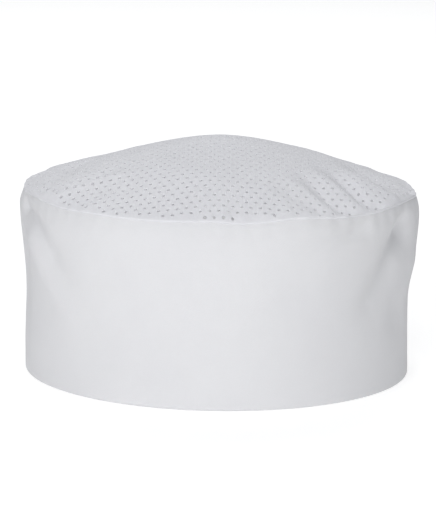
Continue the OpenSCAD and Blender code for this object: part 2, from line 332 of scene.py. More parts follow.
def bandShift(bearing, z):               # how far the cloth stands in or out from its round form
    turn = (np.degrees(bearing) + 180) % 360 - 180
    around, up = turn * arcPerDegree, z / mm
    shift = np.zeros(np.shape(around + up))
    for line, depth, width in bandDents.values():
        arc = [(t * arcPerDegree, h) for t, h in line]
        shift = shift + depth * lineShare(around, up, arc, width, 0.2)
    shift = shift * (1 - 0.6 * smooth((up - 80) / 8))    # the seam holds the band nearly round
    free = smooth(up / 30)               # the lower fold keeps its circle
    shift = shift + free * (0.45 * np.sin(3 * bearing + 0.6 + 0.02 * up)
                            + 0.3 * np.sin(5 * bearing + 2.1 - 0.035 * up)
                            + 0.22 * np.sin(9 * bearing + 0.05 * up) * smooth((up - 20) / 40))
    shift = shift + 0.16 * np.sin(61 * bearing + 1.7 * np.sin(7 * bearing)) * smooth((up - 78) / 10)
    # the cloth lies flat under the closing strap, and right above the vent
    underStrap = window(np.where(turn < 0, turn + 360, turn), 118, 214, 12) * (1 - smooth((up - 44) / 16))
    shift = shift * (1 - underStrap) * (1 - smooth((np.abs(turn) - 168) / 9 + 1))
    return shift * mm


def hatPoint(bearing, z, inset):         # every layer takes its place from here, inset from the outer face
    bearing, z, inset = np.broadcast_arrays(bearing, z, inset)
    height = z + seamLift(bearing) * smooth((z - hatForm["liftFrom"]) / (seamZ - hatForm["liftFrom"]))
    return ringPoints(bandRadius(z) - inset + bandShift(bearing, z), bearing, height)


def backBearing(x, z, inset):
    return np.pi - np.arcsin(np.clip(x / (bandRadius(z) - inset), -1, 1))


def backPoint(x, z, inset):
    x, z, inset = np.broadcast_arrays(x, z, inset)
    return hatPoint(backBearing(x, z, inset), z, inset)


def ringPoints(radius, bearing, z):
    radius, bearing, z = np.broadcast_arrays(radius, bearing, z)
    return np.stack([radius * np.sin(bearing), -radius * np.cos(bearing), z], -1)


def nodeBearings(node):                  # first and last bearing of a node behind the hat
    points = readPoints(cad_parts[node])
    bearings = np.arctan2(points[:, 0], -points[:, 1]) % (2 * np.pi)
    return bearings.min(), bearings.max()


def pathLengths(points):
    steps = np.linalg.norm(np.diff(points, axis=0), axis=1)
    return np.concatenate([[0], np.cumsum(steps)])


stitchForm = {"length": 2.4 * mm, "gap": 0.5 * mm, "width": 0.5 * mm, "height": 0.25 * mm,
              "boxEnd": 2 * mm, "boxSide": 2.25 * mm}   # how far a box of stitches keeps from the edges


def makeStitch(length, width, height):   # one lock stitch: a short plump yarn, flat underneath
    deselectAll()
    bpy.ops.mesh.primitive_uv_sphere_add(segments=6, ring_count=5, radius=1, rotation=(0, math.pi / 2, 0))
    stitch = bpy.context.object
    stitch.name = "stitchShape"
    bpy.ops.object.transform_apply(location=False, rotation=True, scale=False)
    bpy.ops.object.mode_set(mode="EDIT")
    bpy.ops.mesh.select_all(action="DESELECT")
    shape = bmesh.from_edit_mesh(stitch.data)
    for vert in shape.verts:
        vert.select = 0.5 < abs(vert.co.x) < 0.95
    shape.select_flush_mode()
    bmesh.update_edit_mesh(stitch.data)
    bpy.ops.transform.resize(value=(1.0, 1.35, 1.35), center_override=(0, 0, 0))
    bpy.ops.mesh.select_all(action="SELECT")
    bpy.ops.transform.resize(value=(length / 2, width / 2, height / 2), center_override=(0, 0, 0))
    bpy.ops.object.mode_set(mode="OBJECT")
    return stitch


def copyMany(template, name, origins, tangents, normals):   # one mesh that holds a copy at every place
    shape = readPoints(template)
    faces = [list(face.vertices) for face in template.data.polygons]
    sides = np.cross(normals, tangents)
    points = (origins[:, None, :] + shape[None, :, 0, None] * tangents[:, None, :]
              + shape[None, :, 1, None] * sides[:, None, :] + shape[None, :, 2, None] * normals[:, None, :])
    allFaces = [[corner + k * len(shape) for corner in face] for k in range(len(origins)) for face in faces]
    mesh = bpy.data.meshes.new(name)
    mesh.from_pydata(points.reshape(-1, 3).tolist(), [], allFaces)
    mesh.update()
    piece = bpy.data.objects.new(name, mesh)
    bpy.context.collection.objects.link(piece)
    return piece


def stitchPlaces(path, outward, pitch):  # evenly spaced places along a path, with the way each one faces
    reach = pathLengths(path)
    count = max(2, int(reach[-1] / pitch))
    middles = (np.arange(count) + 0.5) * reach[-1] / count
    def at(distance, values):
        return np.stack([np.interp(distance, reach, values[:, k]) for k in range(3)], -1)
    origins = at(middles, path)
    tangents = at(middles + 0.3 * pitch, path) - at(middles - 0.3 * pitch, path)
    tangents /= np.linalg.norm(tangents, axis=1)[:, None]
    normals = at(middles, outward)
    normals -= (normals * tangents).sum(1)[:, None] * tangents
    normals /= np.linalg.norm(normals, axis=1)[:, None]
    return origins, tangents, normals


def radialOut(path):
    out = path * np.array([1, 1, 0])
    return out / np.linalg.norm(out, axis=1)[:, None]


def sewnPiece(name, runs, body, nodes, slant=0.0):
    places = [stitchPlaces(path, facing, stitchForm["length"] + stitchForm["gap"]) for path, facing in runs]
    origins, tangents, normals = (np.concatenate(part) for part in zip(*places))
    if slant:
        sides = np.cross(normals, tangents)
        tangents = tangents * math.cos(slant) + sides * math.sin(slant)
    piece = copyMany(stitchShape, name, origins, tangents, normals)
    smoothShade(piece, 70)
    finishPiece(piece, body, threadYarn, nodes)
    return piece


def boxRun(radius, start, end, low, high):   # a stitched rectangle, just inside the edges of a curved face
    start, end = start + stitchForm["boxEnd"] / rimR, end - stitchForm["boxEnd"] / rimR
    low, high = low + stitchForm["boxSide"], high - stitchForm["boxSide"]
    corners = [(start, low), (end, low), (end, high), (start, high), (start, low)]
    runs = []
    for (t0, h0), (t1, h1) in zip(corners, corners[1:]):
        share = np.linspace(0.02, 0.98, 60)
        path = ringPoints(radius, t0 + (t1 - t0) * share, h0 + (h1 - h0) * share)
        runs.append((path, radialOut(path)))
    return runs


stitchShape = makeStitch(stitchForm["length"], stitchForm["width"], stitchForm["height"])


twill = {"thickness": 0.5 * mm, "outerInset": 0.25 * mm, "innerInset": 1.55 * mm, "columns": 360,
         "outerRows": 62, "foldRows": 4, "innerRows": 32, "trim": 0.5 * mm}
ventTrim = {"width": 6 * mm, "thickness": 0.34 * mm, "stitchFromEdge": 1.25 * mm,
            "legRows": 6, "wrapRows": 8}
ventLow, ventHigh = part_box("vent_binding")
ventHalf = (ventHigh.x - ventLow.x) / 2 - ventTrim["width"]   # the open half width of the vent
ventArch = ventHigh.z - (ventHigh.x - ventLow.x) / 2  # height of the arch's centre


def inVent(x, z, grow):
    half = ventHalf + grow
    return np.where(z < ventArch, half - np.abs(x), half - np.hypot(x, z - ventArch))


def makeBand():
    rows = twill["outerRows"] + twill["foldRows"] + twill["innerRows"]
    piece, u, v = clothGrid("bandCloth", twill["columns"], rows)
    foldR = (twill["innerInset"] - twill["outerInset"]) / 2
    foldZ = foldR + twill["thickness"] / 2
    step = np.rint((1 - v) * rows)
    bearing = (u * 2 - 1) * np.pi
    topZ = seamZ + 0.05 * mm
    outerZ = topZ + (foldZ - topZ) * np.clip(step / twill["outerRows"], 0, 1)
    turn = np.clip((step - twill["outerRows"]) / twill["foldRows"], 0, 1) * np.pi
    risen = np.clip((step - twill["outerRows"] - twill["foldRows"]) / twill["innerRows"], 0, 1)
    z = outerZ - foldR * np.sin(turn) + (topZ - foldZ) * risen
    inset = twill["outerInset"] + foldR * (1 - np.cos(turn))
    x = (bandRadius(z) - inset) * np.sin(bearing)
    opening = (inVent(x, z, twill["trim"]) > 0) & (np.abs(bearing) > np.pi / 2)
    # the top edge of the outer layer turns in a little, under the crown's roll
    lean = 0.2 * mm * smooth((z - topZ + 0.8 * mm) / (0.8 * mm))
    inset = inset + np.where(step < twill["outerRows"], lean, 0)
    writePoints(piece, hatPoint(bearing, z, inset))
    length = np.where(step <= twill["outerRows"], topZ - z, topZ + z)
    writeUv(piece, bearing * rimR, length)
    dropFaces(piece, lambda face: all(opening[vert.index] for vert in face.verts))
    mergeDoubles(piece)
    # what is left inside the vent's outline moves out on to it
    points = readPoints(piece)
    near = (points[:, 1] > 0) & (inVent(points[:, 0], points[:, 2], twill["trim"]) > 0)
    stray = points[near]
    radius = np.hypot(stray[:, 0], stray[:, 1])
    half = ventHalf + twill["trim"]
    upper = stray[:, 2] > ventArch
    reach = np.hypot(stray[:, 0], stray[:, 2] - ventArch)
    stray[:, 0] = np.where(upper, stray[:, 0] * half / reach, np.sign(stray[:, 0]) * half)
    stray[:, 2] = np.where(upper, ventArch + (stray[:, 2] - ventArch) * half / reach, stray[:, 2])
    stray[:, 1] = np.sqrt(radius ** 2 - stray[:, 0] ** 2)
    points[near] = stray
    writePoints(piece, points)
    thicken(piece, twill["thickness"])
    pointOutwards(piece)
    smoothShade(piece, 60)
    finishPiece(piece, "hat", twillCloth, ["band_shell"])


stiffening = {"thickness": 0.5 * mm, "inset": 0.9 * mm, "low": 0.9 * mm, "high": seamZ - 0.7 * mm,
              "trim": 0.7 * mm}


def makeStiffening():                    # between the band's two layers
    piece, u, v = clothGrid("bandStiffening", 240, 40)
    bearing = (u * 2 - 1) * np.pi
    z = stiffening["low"] + (stiffening["high"] - stiffening["low"]) * v
    inset = stiffening["inset"]
    x = (bandRadius(z) - inset) * np.sin(bearing)
    opening = (inVent(x, z, stiffening["trim"]) > 0) & (np.abs(bearing) > np.pi / 2)
    writePoints(piece, hatPoint(bearing, z, inset))
    writeUv(piece, bearing * rimR, z)
    dropFaces(piece, lambda face: any(opening[vert.index] for vert in face.verts))
    mergeDoubles(piece)
    thicken(piece, stiffening["thickness"])
    pointOutwards(piece)
    smoothShade(piece, 60)
    finishPiece(piece, "hat", stiffCloth, ["band_interlining"])


crown = {"thickness": 0.6 * mm, "rowPitch": 4.2 * mm, "holePitch": 4.4 * mm, "holeR": 0.77 * mm,
         "roll": 0.8 * mm, "domeShare": 0.97, "domePower": 1.4, "rollPower": 20,
         "frontSwell": 3.4, "flange": 8 * mm, "lip": 0.3 * mm}
# folds of the crown: bearing and distance from the middle along each, how high, how wide (mm)
crownFolds = {
    "valleyA": ([(60.9, 53.6), (59.5, 60.9), (56.7, 69.5), (53.6, 78.9), (51.6, 87.9), (52.9, 94.8)],
                -3.2, 5.2),
    "valleyB": ([(40.3, 59.9), (39, 70.4), (37.9, 81.7), (38.6, 91.4), (41.1, 95.5)], -2.3, 4.6),
    "valleyC": ([(23.1, 71.5), (26.2, 83.4), (29.3, 92.3)], -0.8, 4.2),
    "ridgeAB": ([(51.6, 55.8), (49.6, 64.7), (47.6, 74.9), (46.5, 85.6), (46.4, 93.5)], 1.5, 4.4),
    "ridgeOutsideA": ([(70, 72.6), (63.5, 86.4), (63.8, 94.6)], 1.3, 5.5),
    "ridgeBC": ([(31, 68), (34, 92)], 0.8, 3.6),
    "leftRidge": ([(-61.9, 93.9), (-57, 90.5), (-54.3, 83.6), (-52.1, 74.2), (-46, 65)], 1.9, 4.8),
    "leftUpperValley": ([(-77.2, 91.3), (-66, 90), (-58.7, 88), (-56.5, 76.1), (-54.9, 66.2),
                         (-54.3, 58.1)],
                        -1.5, 4.0),
    "leftLowerValley": ([(-54.7, 94.9), (-48.1, 92.8), (-43.7, 90.2), (-42.7, 81.9), (-35.4, 75.6)],
                        -0.7, 4.2),
    "pleat1": ([(-75, 86), (-74, 93)], 0.8, 1.5),
    "pleat2": ([(-70, 87), (-69, 93.5)], -0.8, 1.5),
    "pleat3": ([(-66, 88), (-65, 93.5)], 0.7, 1.4),
    "sideValley": ([(88, 62), (90, 78), (88, 94)], -2.6, 8.0),
    "sideRidge": ([(99, 70), (101, 92)], 0.3, 6.5),
    "hollowRight": ([(112, 56), (95, 68), (78, 80)], -3.0, 8.5),
    "ridgeRight": ([(112, 43), (90, 54), (68, 67), (58, 80)], 1.3, 5.5),
    "hollowLeft": ([(-118, 52), (-100, 66), (-84, 80)], -2.0, 8.5),
    "backValley1": ([(118, 58), (121, 76), (118, 94)], -1.5, 5.5),
    "backRidge1": ([(133, 64), (136, 92)], 0.6, 6.0),
    "backValley2": ([(150, 68), (147, 92)], -1.5, 3.4),
    "backValley3": ([(-158, 64), (-155, 80), (-159, 94)], -1.8, 3.5),
    "backRidge3": ([(-146, 66), (-143, 92)], 1.0, 5.0),
    "backValley4": ([(-127, 60), (-124, 78), (-128, 94)], -1.5, 5.5),
    "leftSideValley": ([(-102, 66), (-100, 80), (-103, 93)], -1.2, 6.0),
    "leftSideRidge": ([(-113, 70), (-115, 92)], 0.3, 6.0),
}
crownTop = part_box("mesh_crown")[1].z
crownEdge = seamZ + 0.7 * mm


def crownProfile():                      # half section of the cloth's middle, from the apex into the seam
    radii = seamR * np.sin(np.linspace(0, 1, 400) * math.asin((seamR - 0.25 * mm) / seamR))
    share = radii / seamR
    dome = crownEdge + (crownTop - crownEdge) * (
        crown["domeShare"] * (1 - share ** crown["domePower"])
        + (1 - crown["domeShare"]) * (1 - share ** crown["rollPower"]))
    dome = dome + crown["lip"] * share ** 12
    outer = np.stack([radii, dome], -1)
    slope = np.gradient(outer, axis=0)
    slope /= np.linalg.norm(slope, axis=1)[:, None]
    normal = np.stack([-slope[:, 1], slope[:, 0]], -1)
    middle = outer - normal * crown["thickness"] / 2
    rollR = crown["roll"] - crown["thickness"] / 2
    startAngle = math.atan2(normal[-1, 1], normal[-1, 0])
    centre = middle[-1] - rollR * normal[-1]
    angles = np.linspace(startAngle, -math.pi / 2, 9)[1:]
    rolled = centre + rollR * np.stack([np.cos(angles), np.sin(angles)], -1)
    low = rolled[-1, 1]
    neckR = float(bandRadius(np.array(seamZ))) - 2.7 * mm
    inwards = np.array([[neckR + 1.0 * mm, low], [neckR + 0.4 * mm, low - 0.12 * mm],
                        [neckR + 0.1 * mm, low - 0.45 * mm]])
    down = np.linspace(seamZ - 0.8 * mm, seamZ - crown["flange"] + 0.2 * mm, 5)
    neck = np.stack([bandRadius(down) - 2.7 * mm, down], -1)
    return middle, np.concatenate([rolled, inwards, neck])


def crownLift(x, y, radius, bearing):
    xx, yy = x / mm, y / mm
    lift = np.zeros(x.shape)
    for line, height, width in crownFolds.values():
        plan = [(r * math.sin(math.radians(t)), -r * math.cos(math.radians(t))) for t, r in line]
        lift = lift + height * lineShare(xx, yy, plan, width)
    lift = lift * smooth((radius / mm - 50) / 26)     # folds die out towards the middle
    front = np.clip(np.cos(bearing), 0, 1) ** 2
    lift = lift + crown["frontSwell"] * front * np.exp(-((radius / mm - 60) / 27) ** 2)
    lift = lift + 0.5 * np.sin(xx / 21 + 1.1) * np.sin(yy / 17 + 0.4)
    lift = lift + 0.3 * np.sin(xx / 9.5 + yy / 13 + 0.7) * smooth((radius / mm - 30) / 30)
    lift = lift + 0.22 * np.sin(53 * bearing + 2 * np.sin(5 * bearing)) * smooth((radius / mm - 84) / 8)
    return lift * mm * smooth((seamR + 0.3 * mm - radius) / (3.2 * mm))


def repeatCells(piece, count, step):
    cells = piece.modifiers.new("repeatedCells", "ARRAY")
    cells.count = count
    cells.use_relative_offset = False
    cells.use_constant_offset = True
    cells.constant_offset_displace = step
    bpy.ops.object.modifier_apply(modifier=cells.name)


def makeCrown():
    dome, turned = crownProfile()
    reach = pathLengths(dome)
    seamReach = reach[-1]
    deselectAll()
    # one cell of the mesh: a round hole in a piece of knit, with the points its neighbours share
    bpy.ops.mesh.primitive_circle_add(vertices=12, radius=crown["holeR"], fill_type="NOTHING")
    piece = bpy.context.object
    piece.name = "crownMesh"
    piece.data.name = "crownMesh"
    bpy.ops.object.mode_set(mode="EDIT")
    bpy.ops.mesh.select_all(action="SELECT")
    bpy.ops.mesh.extrude_region_move()
    cell = bmesh.from_edit_mesh(piece.data)
    halfX, halfY = crown["holePitch"] / 2, crown["rowPitch"] / 2
    border = [(halfX, 0), (halfX, halfY), (halfX / 2, halfY), (0, halfY), (-halfX / 2, halfY),
              (-halfX, halfY), (-halfX, 0), (-halfX, -halfY), (-halfX / 2, -halfY), (0, -halfY),
              (halfX / 2, -halfY), (halfX, -halfY)]
    for vert in cell.verts:
        if vert.select:
            turn = round(math.atan2(vert.co.y, vert.co.x) / (math.pi / 6)) % 12
            vert.co.x, vert.co.y = border[turn]
    bmesh.update_edit_mesh(piece.data)
    bpy.ops.object.mode_set(mode="OBJECT")
    halfColumns = int(seamReach / crown["holePitch"]) + 2
    halfPairs = int(seamReach / crown["rowPitch"] / 2) + 2
    repeatCells(piece, 2 * halfColumns, (crown["holePitch"], 0, 0))
    second = piece.copy()                # the next row stands half a pitch along
    second.data = piece.data.copy()
    bpy.context.collection.objects.link(second)
    second.location = (crown["holePitch"] / 2, crown["rowPitch"], 0)
    joinOnto(piece, second)
    repeatCells(piece, 2 * halfPairs, (0, 2 * crown["rowPitch"], 0))
    flat = readPoints(piece)
    startX = (halfColumns - 0.5) * crown["holePitch"]
    startY = (2 * halfPairs - 1) * crown["rowPitch"] + 0.9 * mm
    flat -= np.array([startX, startY, 0])
    writePoints(piece, flat)
    radius = np.hypot(flat[:, 0], flat[:, 1])
    pick(piece)
    bpy.ops.object.mode_set(mode="EDIT")
    bpy.ops.mesh.select_all(action="DESELECT")
    cloth = bmesh.from_edit_mesh(piece.data)
    for vert, away in zip(cloth.verts, radius):
        vert.select = away > seamReach + 5 * mm
    cloth.select_flush_mode()
    bmesh.update_edit_mesh(piece.data)
    bpy.ops.mesh.delete(type="VERT")
    bpy.ops.mesh.select_all(action="SELECT")
    bpy.ops.mesh.remove_doubles(threshold=0.05 * mm)
    # no hole is cut through by the seam: those too near it are closed first
    bpy.ops.mesh.select_all(action="DESELECT")
    cloth = bmesh.from_edit_mesh(piece.data)
    for edge in cloth.edges:
        if edge.is_boundary and edge.calc_length() < 0.5 * mm:
            middle = (edge.verts[0].co + edge.verts[1].co) / 2
            row = round((middle.y + startY) / crown["rowPitch"])
            column = round((middle.x + startX) / crown["holePitch"] - 0.5 * (row % 2))
            centre = Vector(((column + 0.5 * (row % 2)) * crown["holePitch"] - startX,
                             row * crown["rowPitch"] - startY))
            if centre.length > seamReach - 1.1 * mm:
                edge.select_set(True)
    bmesh.update_edit_mesh(piece.data)
    bpy.ops.mesh.fill_holes(sides=12)
    for k in range(90):                  # trimmed to a circle, a short straight cut at a time
        turn = (k + 0.5) / 90 * 2 * math.pi
        away = Vector((math.cos(turn), math.sin(turn), 0))
        cloth = bmesh.from_edit_mesh(piece.data)
        for face in cloth.faces:
            face.select_set(face.calc_center_median().dot(away) > seamReach - 4 * mm)
        bmesh.update_edit_mesh(piece.data)
        bpy.ops.mesh.bisect(plane_co=away * seamReach, plane_no=away, clear_outer=True)
    cloth = bmesh.from_edit_mesh(piece.data)
    bpy.ops.mesh.select_all(action="DESELECT")
    for vert in cloth.verts:
        if vert.is_boundary and vert.co.length > seamReach - 0.02 * mm:
            vert.select_set(True)
    bmesh.update_edit_mesh(piece.data)
    bpy.ops.mesh.remove_doubles(threshold=0.45 * mm)
    # the rolled edge and the part turned down inside the hat grow from the trimmed edge
    cloth = bmesh.from_edit_mesh(piece.data)
    bpy.ops.mesh.select_all(action="DESELECT")
    for edge in cloth.edges:
        if edge.is_boundary and min(vert.co.length for vert in edge.verts) > seamReach - 0.35 * mm:
            edge.select_set(True)
    bmesh.update_edit_mesh(piece.data)
    beyond = pathLengths(np.concatenate([dome[-1:], turned]))[1:] + seamReach
    before = seamReach
    for away in beyond:
        bpy.ops.mesh.extrude_region_move()
        bpy.ops.transform.resize(value=(away / before, away / before, 1), center_override=(0, 0, 0))
        before = away
    bpy.ops.object.mode_set(mode="OBJECT")
    flat = readPoints(piece)
    writeUv(piece, flat[:, 0], flat[:, 1])
    radius = np.hypot(flat[:, 0], flat[:, 1])
    bearing = np.arctan2(flat[:, 0], -flat[:, 1])
    profile = np.concatenate([dome, turned])
    profileReach = pathLengths(profile)
    away = np.interp(radius, profileReach, profile[:, 0])
    z = np.interp(radius, profileReach, profile[:, 1])
    onDome = radius < seamReach + 0.01 * mm
    z = z + np.where(onDome, crownLift(away * np.sin(bearing), -away * np.cos(bearing), away, bearing), 0)
    z = z + seamLift(bearing) * smooth((away - 0.5 * seamR) / (0.5 * seamR))
    away = away + bandShift(bearing, np.minimum(z, seamZ)) * smooth((away - 0.8 * seamR) / (0.2 * seamR))
    writePoints(piece, np.stack([away * np.sin(bearing), -away * np.cos(bearing), z], -1))
    thicken(piece, crown["thickness"])
    pointOutwards(piece)
    smoothShade(piece, 60)
    finishPiece(piece, "hat", meshCloth, ["mesh_crown"])


bindingLow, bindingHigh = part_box("seam_binding")
tape = {"thickness": 0.3 * mm, "outerInset": 2.1 * mm, "innerInset": 3.55 * mm,
        "low": bindingLow.z + 0.2 * mm, "high": bindingHigh.z - 0.1 * mm}


def makeSeamTape():                      # bias tape folded up round the raw edge of the seam
    piece, u, v = clothGrid("seamTape", 240, 24)
    bearing = (u * 2 - 1) * np.pi
    radius = (tape["innerInset"] - tape["outerInset"]) / 2
    step = v * 24
    turn = np.clip((step - 9) / 6, 0, 1) * np.pi
    down = 1 - np.clip(step / 9, 0, 1)
    up = np.clip((step - 15) / 9, 0, 1)
    lowZ = tape["low"] + radius * 0.35
    z = lowZ - 0.35 * radius * np.sin(turn) + (tape["high"] - lowZ) * (down + up)
    inset = tape["outerInset"] + radius * (1 - np.cos(turn))
    inset = inset + 0.05 * mm * np.sin(60 * bearing)
    writePoints(piece, hatPoint(bearing, z, inset))
    writeUv(piece, bearing * rimR, v * 18 * mm)
    mergeDoubles(piece)
    thicken(piece, tape["thickness"])
    pointOutwards(piece)
    smoothShade(piece, 60)
    finishPiece(piece, "hat", tapeCloth, ["seam_binding"])


def ringRun(z, inset, count=720):
    bearing = np.linspace(-np.pi, np.pi, count)
    path = hatPoint(bearing, z, inset)
    return path, radialOut(path)


def makeSeamStitches():
    sewnPiece("crownSeamStitches", [ringRun(85.6 * mm, 3.175 * mm)], "hat", ["crown_seam_thread"])
    sewnPiece("tapeStitches", [ringRun(87.6 * mm, 3.93 * mm)], "hat", ["binding_thread"])


terry = {"thickness": 1.0 * mm, "inset": 2.6 * mm, "loops": 0.32 * mm, "fromVent": 6.15 * mm,
         "stitchInset": 2.25 * mm}
sweatLow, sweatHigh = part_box("sweatband")


def sweatEdge(z, inset):                 # bearing of the sweatband's end beside the vent
    half = ventHalf + terry["fromVent"]
    x = np.where(z < ventArch, half, np.sqrt(np.maximum(half ** 2 - (z - ventArch) ** 2, 0)))
    return np.pi - np.arcsin(x / (bandRadius(z) - inset))


def makeSweatband():
    piece, u, v = clothGrid("terryBand", 480, 28)
    z = sweatLow.z + (sweatHigh.z - sweatLow.z) * v
    bearing = (u * 2 - 1) * sweatEdge(z, terry["inset"])
    writePoints(piece, hatPoint(bearing, z, terry["inset"]))
    writeUv(piece, bearing * rimR, z)
    thicken(piece, terry["thickness"])
    pointOutwards(piece)
    points = readPoints(piece)
    radius = np.hypot(points[:, 0], points[:, 1])
    bearing = np.arctan2(points[:, 0], -points[:, 1])
    depth = bandRadius(points[:, 2]) + bandShift(bearing, points[:, 2]) - radius
    inner = depth > terry["inset"] + 0.3 * mm    # loops stand up on the side that faces the head
    lift = rng.random(len(points)) * terry["loops"] * inner
    points[:, 0] -= np.sin(bearing) * lift
    points[:, 1] += np.cos(bearing) * lift
    writePoints(piece, points)
    smoothShade(piece, 70)
    finishPiece(piece, "hat", terryCloth, ["sweatband"])
    runs = []
    for z in (sweatLow.z - 0.25 * mm, sweatHigh.z + 0.25 * mm):
        end = float(sweatEdge(np.array(z), terry["stitchInset"])) - 0.006
        path = hatPoint(np.linspace(-end, end, 700), z, terry["stitchInset"])
        runs.append((path, radialOut(path)))
    sewnPiece("sweatStitches", runs, "hat", ["sweatband_thread"], slant=0.25)


def archLine(count):                     # the vent's outline from one lower corner over to the other
    side = np.linspace(0.15 * mm, ventArch, count // 4)
    turn = np.linspace(0, math.pi, count // 2)[1:-1]
    outX = np.concatenate([np.full(len(side), -1.0), -np.cos(turn), np.full(len(side), 1.0)])
    outZ = np.concatenate([np.zeros(len(side)), np.sin(turn), np.zeros(len(side))])
    z = np.concatenate([side, ventArch + ventHalf * np.sin(turn), side[::-1]])
    return ventHalf * outX, z, outX, outZ


def makeVentTape():
    lineX, lineZ, outX, outZ = archLine(120)
    legRows, wrapRows = ventTrim["legRows"], ventTrim["wrapRows"]
    rows = 2 * legRows + wrapRows
    piece, u, v = clothGrid("ventTape", len(lineX) - 1, rows)
    place = np.rint(u * (len(lineX) - 1)).astype(int)
    step = np.rint(v * rows)
    outsideIn, insideIn = -0.3 * mm, 2.1 * mm
    turn = np.clip((step - legRows) / wrapRows, 0, 1) * np.pi
    away = np.maximum(1 - step / legRows, (step - rows + legRows) / legRows).clip(0)
    offset = 0.55 * mm + (ventTrim["width"] - 0.6 * mm) * away - 0.35 * mm * np.sin(turn)
    inset = outsideIn + (insideIn - outsideIn) * (1 - np.cos(turn)) / 2
    x = lineX[place] + outX[place] * offset
    z = lineZ[place] + outZ[place] * offset
    writePoints(piece, backPoint(x, np.maximum(z, 0.1 * mm), inset))
    writeUv(piece, u * 150 * mm, v * 15 * mm)
    thicken(piece, ventTrim["thickness"])
    pointOutwards(piece)
    smoothShade(piece, 50)
    finishPiece(piece, "hat", tapeCloth, ["vent_binding"])
    offset = ventTrim["width"] - ventTrim["stitchFromEdge"]
    runs = []
    for inset, facing in ((-0.675 * mm, 1), (2.475 * mm, -1)):
        path = backPoint(lineX + outX * offset, np.maximum(lineZ + outZ * offset, 0.1 * mm), inset)
        runs.append((path, radialOut(path) * facing))
    sewnPiece("ventStitches", runs, "hat", ["vent_thread"])


closing = {"thickness": 0.84 * mm, "strapR": 97.05 * mm, "baseUpperR": 95.95 * mm, "baseLowerR": 95.05 * mm,
           "cornerR": 6 * mm, "softEdge": 0.2 * mm, "baseStitchR": 96.52 * mm, "edgeStitchR": 97.58 * mm,
           "stitchFromEdge": 1.1 * mm}


def roundedHalf(fromEnd, half, cornerR):  # half height of a strap whose end corners are rounded
    short = np.clip(cornerR - fromEnd, 0, cornerR)
    return half - cornerR + np.sqrt(cornerR ** 2 - short ** 2)


def makeStrap():
    strapLow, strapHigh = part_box("tab_strap")
    free, hinge = nodeBearings("tab_strap")
    baseStart, baseEnd = nodeBearings("tab_base")
    # the strap's way: under layer of the sewn end, folded back over it, then out to the free end
    under = np.linspace(baseStart + 0.006, baseEnd - 0.006, 12)
    bend = np.linspace(0, math.pi, 7)[1:-1]
    over = np.linspace(baseEnd - 0.006, baseStart + 0.012, 12)
    rise = np.linspace(over[-1], hinge - 0.045, 14)[1:]
    fromEnd = np.linspace(0, 1, 14) ** 1.6 * 0.075
    rest = np.linspace(rise[-1], free + fromEnd[-1], 70)[1:-1]
    tip = free + fromEnd[::-1]
    bearing = np.concatenate([under, baseEnd - 0.006 + 0.005 * np.sin(bend), over, rise, rest, tip])
    lowR, highR = closing["baseLowerR"], closing["baseUpperR"]
    radius = np.concatenate([np.full(12, lowR), lowR + (highR - lowR) * (1 - np.cos(bend)) / 2,
                             np.full(12, highR),
                             highR + (closing["strapR"] - highR) * smooth(np.linspace(0, 1, 14)[1:]),
                             np.full(len(rest) + len(tip), closing["strapR"])])
    piece, u, v = clothGrid("closingStrap", len(bearing) - 1, 16)
    place = np.rint(u * (len(bearing) - 1)).astype(int)
    t, r = bearing[place], radius[place]
    toEnd = (t - free) * closing["strapR"]
    half, middleZ = (strapHigh.z - strapLow.z) / 2, (strapHigh.z + strapLow.z) / 2
    height = roundedHalf(toEnd, half - 0.02 * mm, closing["cornerR"])
    z = middleZ + (v * 2 - 1) * height
    writePoints(piece, ringPoints(r, t, z))
    reach = pathLengths(ringPoints(radius, bearing, 0))
    writeUv(piece, reach[place], z)
    thicken(piece, closing["thickness"])
    pointOutwards(piece)
    softenEdges(piece, closing["softEdge"])
    smoothShade(piece, 50)
    finishPiece(piece, None, twillCloth, ["tab_base", "tab_strap"])
    pin = Vector(ringPoints(closing["strapR"], hinge, middleZ))
    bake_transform(piece)

    sewnPiece("strapEndStitches",
              boxRun(closing["baseStitchR"], baseStart, baseEnd, strapLow.z, strapHigh.z),
              "hat", ["tab_base_thread"])
    # topstitching along the strap's two long edges
    runs = []
    for z in (strapLow.z + closing["stitchFromEdge"], strapHigh.z - closing["stitchFromEdge"]):
        path = ringPoints(closing["edgeStitchR"], np.linspace(free + 0.075, hinge - 0.055, 200), z)
        runs.append((path, radialOut(path)))
    sewnPiece("strapEdgeStitches", runs, "tab", [])


closure = {"thickness": 0.34 * mm, "softEdge": 0.08 * mm,
           "hookPlateR": 96.3 * mm, "hookR": 96.05 * mm, "hookStitchR": 97.62 * mm, "hookCornerR": 4 * mm,
           "hookStep": 1.5 * mm, "hookRow": 1.3 * mm,
           "loopPlateR": 94.82 * mm, "loopR": 95.0 * mm, "loopStitchR": 95.52 * mm, "loops": 1500}


def tapePlate(name, node, radius, columns, rows, cornerR):
    low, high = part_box(node)
    piece, u, v = clothGrid(name, columns, rows)
    free, end = nodeBearings(node)
    share = u if cornerR == 0 else u ** 1.5
    t = free + (end - free) * share
    half = (high.z - low.z) / 2
    height = half if cornerR == 0 else roundedHalf((t - free) * radius, half, cornerR)
    z = (high.z + low.z) / 2 + (v * 2 - 1) * height
    writePoints(piece, ringPoints(radius, t, z))
    writeUv(piece, t * radius, z)
    thicken(piece, closure["thickness"])
    pointOutwards(piece)
    softenEdges(piece, closure["softEdge"])
    smoothShade(piece, 50)
    return piece, free, end, low, high


